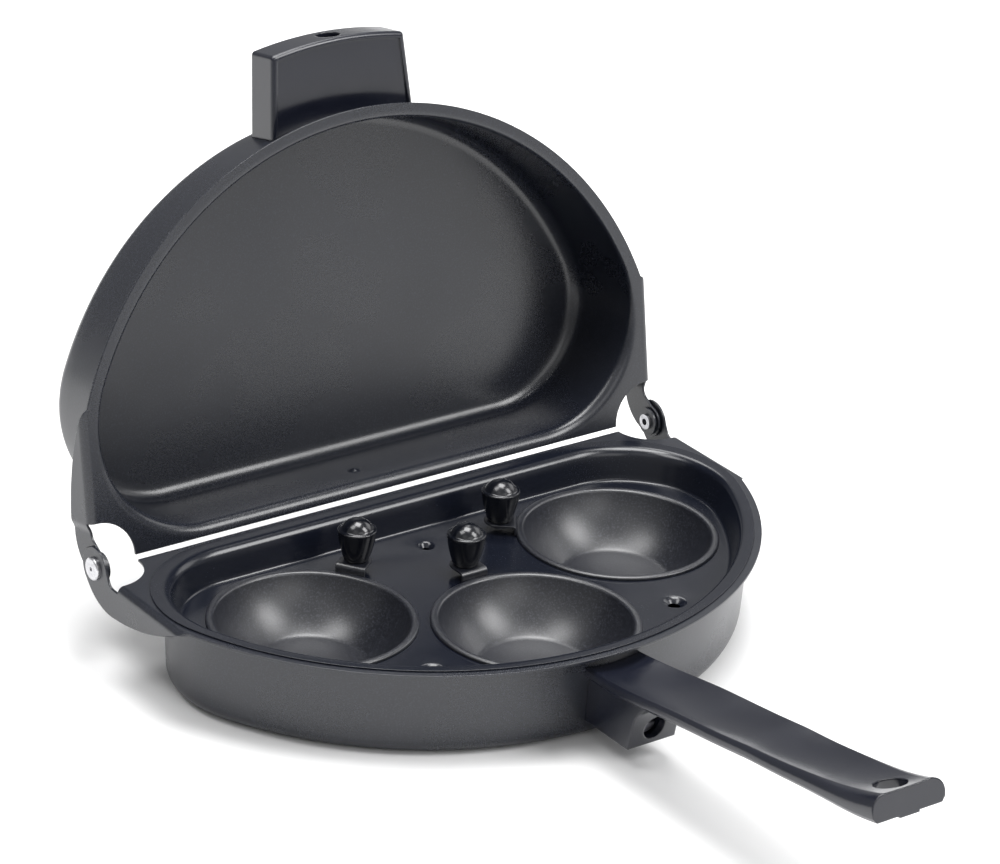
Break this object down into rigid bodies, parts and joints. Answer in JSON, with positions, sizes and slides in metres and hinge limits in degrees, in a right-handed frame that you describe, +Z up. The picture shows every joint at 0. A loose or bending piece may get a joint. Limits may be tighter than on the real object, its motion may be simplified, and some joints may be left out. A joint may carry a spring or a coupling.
{
  "type": "folding egg poacher pan",
  "caption": "Folding half-moon pan with a riveted lid, a long handle, a lift-out poaching tray and lift-out egg cups with knobs.",
  "frame": {"origin": "on the pan's flat underside, at the centre of the round rim's circle", "axes": "+Z up, +X along the hinge towards the pan's right end, -Y out along the long handle; the lid hinges at the +Y side"},
  "size_m": [0.2478, 0.3453, 0.1951],
  "materials": {
    "pan_coating": "satin blue-black non-stick coating on pressed sheet",
    "tray_coating": "half-gloss blue-black non-stick coating",
    "cup_coating": "half-gloss dark non-stick coating",
    "handle_moulding": "satin thermoset moulding",
    "knob_moulding": "polished black thermoset moulding",
    "rivet_metal": "bright plated",
    "screw_metal": "bright plated"
  },
  "bodies": {
    "pan": {"lower_pan": "pan_coating", "long_handle": "handle_moulding", "long_handle_stud": "screw_metal", "long_handle_screw": "screw_metal", "hinge_rivet_left": "rivet_metal", "hinge_rivet_right": "rivet_metal", "hinge_washer_left": "pan_coating", "hinge_washer_right": "pan_coating"},
    "lid": {"upper_pan": "pan_coating", "lid_grip": "handle_moulding", "lid_grip_stud": "screw_metal", "lid_grip_screw": "screw_metal"},
    "tray": {"poacher_tray": "tray_coating"},
    "cup_left": {"egg_cup_left": "cup_coating", "cup_knob_left": "knob_moulding", "knob_screw_left": "screw_metal"},
    "cup_middle": {"egg_cup_middle": "cup_coating", "cup_knob_middle": "knob_moulding", "knob_screw_middle": "screw_metal"},
    "cup_right": {"egg_cup_right": "cup_coating", "cup_knob_right": "knob_moulding", "knob_screw_right": "screw_metal"}
  },
  "joints": [
    {"name": "lid_hinge", "type": "hinge", "parent": "pan", "child": "lid", "pos_m": [0, 0.0146, 0.0345], "axis": [-1, 0, 0], "range_deg": [-100, 0]},
    {"name": "tray_lift", "type": "slide", "parent": "pan", "child": "tray", "axis": [0, 0, 1], "range_m": [0, 0.06]},
    {"name": "cup_left_lift", "type": "slide", "parent": "tray", "child": "cup_left", "axis": [0, 0, 1], "range_m": [0, 0.03]},
    {"name": "cup_middle_lift", "type": "slide", "parent": "tray", "child": "cup_middle", "axis": [0, 0, 1], "range_m": [0, 0.03]},
    {"name": "cup_right_lift", "type": "slide", "parent": "tray", "child": "cup_right", "axis": [0, 0, 1], "range_m": [0, 0.03]}
  ]
}
